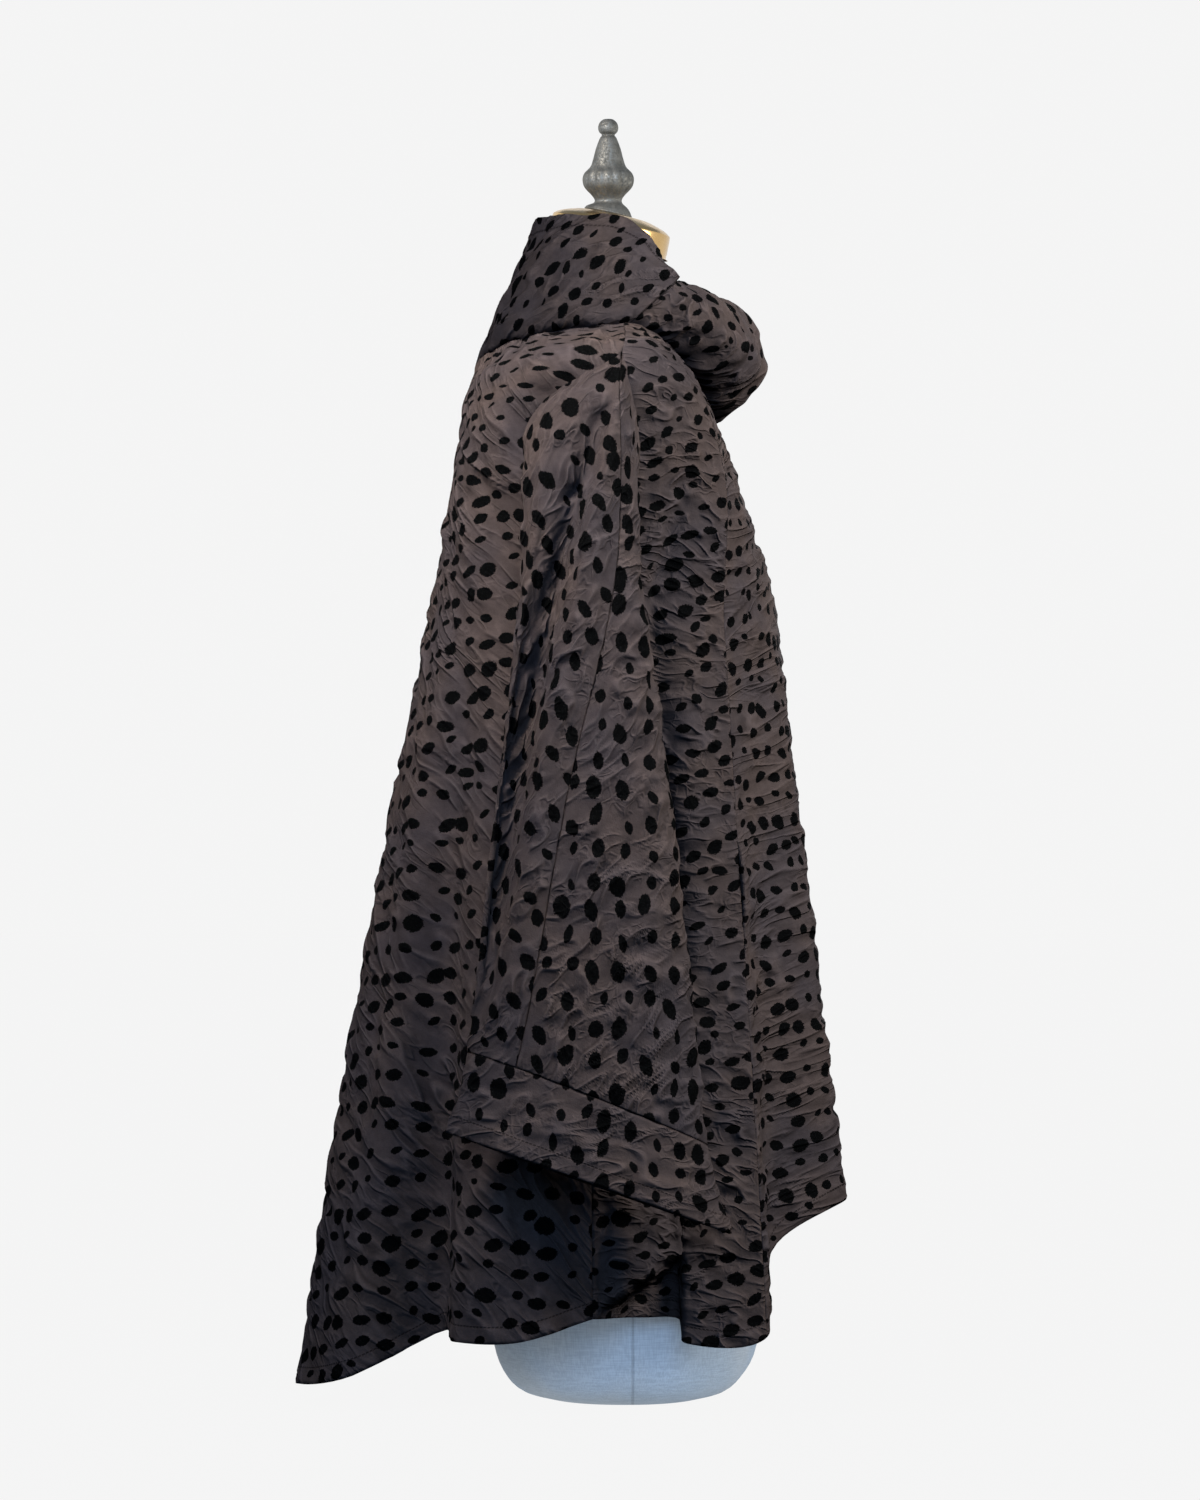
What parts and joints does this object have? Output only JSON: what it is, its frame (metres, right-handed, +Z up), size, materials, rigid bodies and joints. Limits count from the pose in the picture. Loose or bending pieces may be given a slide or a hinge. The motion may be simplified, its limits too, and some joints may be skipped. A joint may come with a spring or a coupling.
{
  "type": "knit poncho on a dress form",
  "caption": "Pullover knit poncho with a draped cowl collar, wide hanging sleeves, in-seam pockets and a dipping hem, on a limbless dress form with a turned finial.",
  "frame": {"origin": "centre of the dress form's flat base, on the surface it stands on", "axes": "+Z up; -Y is the front; -X is the wearer's right; the plane X = 0 is the middle of the garment"},
  "size_m": [0.5758, 0.4349, 1.0303],
  "materials": {
    "knit": "matt puckered knit with black dots",
    "linen": "matt plain weave",
    "brass": "polished, pale",
    "pewter": "aged silver-grey casting"
  },
  "bodies": {
    "root": {"front_centre": "knit", "front_side_right": "knit", "front_side_left": "knit", "back": "knit", "collar_front": "knit", "collar_back": "knit", "sleeve_front_right": "knit", "sleeve_back_right": "knit", "cuff_right": "knit", "sleeve_front_left": "knit", "sleeve_back_left": "knit", "cuff_left": "knit", "pocket_right": "knit", "pocket_left": "knit", "form_torso": "linen", "form_neck_cap": "brass", "form_finial": "pewter"}
  },
  "joints": []
}
